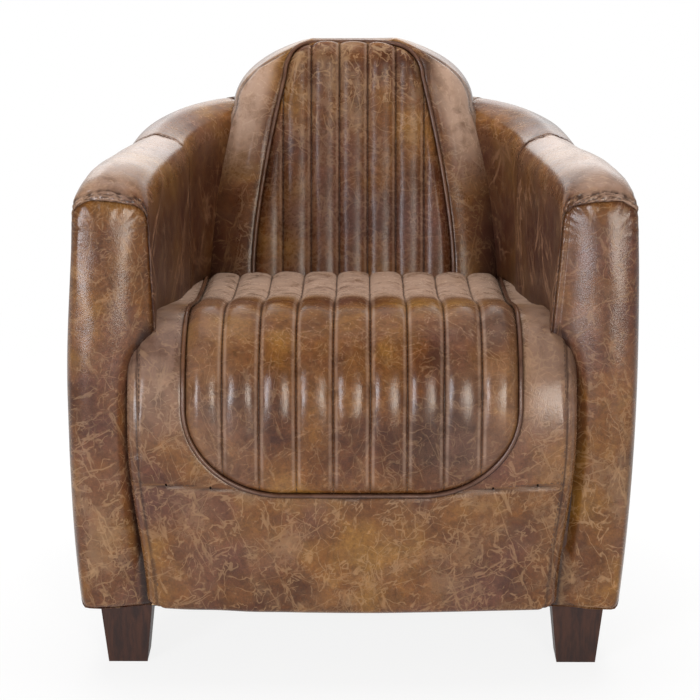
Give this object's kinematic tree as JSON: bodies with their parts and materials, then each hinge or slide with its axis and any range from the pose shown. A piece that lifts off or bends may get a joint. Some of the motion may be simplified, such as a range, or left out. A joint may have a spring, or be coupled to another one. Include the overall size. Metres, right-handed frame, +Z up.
{
  "type": "club chair",
  "caption": "Worn leather tub club chair with a channelled seat and inside back, on short square wooden legs.",
  "frame": {"origin": "on the floor, below the middle of the chair's box", "axes": "+X to the right as seen from the front, -Y the way the sitter faces, +Z up"},
  "size_m": [0.76, 0.7942, 0.7908],
  "materials": {
    "worn_leather": "waxed, distressed and scuffed",
    "piping_leather": "waxed, dark",
    "leg_wood": "dark stain, satin",
    "frame_timber": "bare",
    "frame_plywood": "bare",
    "foam": "cut foam",
    "bolt_steel": "plated",
    "webbing": "woven",
    "dust_cloth": "non-woven"
  },
  "bodies": {
    "root": {"leg_front_left": "leg_wood", "leg_bolt_front_left": "bolt_steel", "leg_front_right": "leg_wood", "leg_bolt_front_right": "bolt_steel", "leg_rear_left": "leg_wood", "leg_bolt_rear_left": "bolt_steel", "leg_rear_right": "leg_wood", "leg_bolt_rear_right": "bolt_steel", "arm_base_rail_left": "frame_timber", "arm_base_rail_right": "frame_timber", "arm_panel_left": "frame_plywood", "arm_panel_right": "frame_plywood", "arm_foam_left": "foam", "arm_foam_right": "foam", "arm_cover_left": "worn_leather", "arm_cover_right": "worn_leather", "tub_back_base_rail": "frame_timber", "tub_back_panel": "frame_plywood", "tub_back_foam": "foam", "wing_cover_left": "worn_leather", "wing_cover_right": "worn_leather", "outside_back_cover": "worn_leather", "arm_front_left": "worn_leather", "arm_front_right": "worn_leather", "front_rail": "frame_timber", "rear_rail": "frame_timber", "side_rail_left": "frame_timber", "corner_block_front_left": "frame_timber", "corner_block_rear_left": "frame_timber", "side_rail_right": "frame_timber", "corner_block_front_right": "frame_timber", "corner_block_rear_right": "frame_timber", "long_web_1": "webbing", "long_web_2": "webbing", "long_web_3": "webbing", "long_web_4": "webbing", "long_web_5": "webbing", "long_web_6": "webbing", "cross_web_1": "webbing", "cross_web_2": "webbing", "cross_web_3": "webbing", "cross_web_4": "webbing", "dust_cover": "dust_cloth", "seat_foam": "foam", "seat_channel_panel": "worn_leather", "seat_side_panel_left": "worn_leather", "seat_side_panel_right": "worn_leather", "seat_front_border": "worn_leather", "seat_piping": "piping_leather", "back_board": "frame_plywood", "back_foam": "foam", "back_cover": "worn_leather", "back_channel_panel": "worn_leather", "back_piping": "piping_leather"}
  },
  "joints": []
}
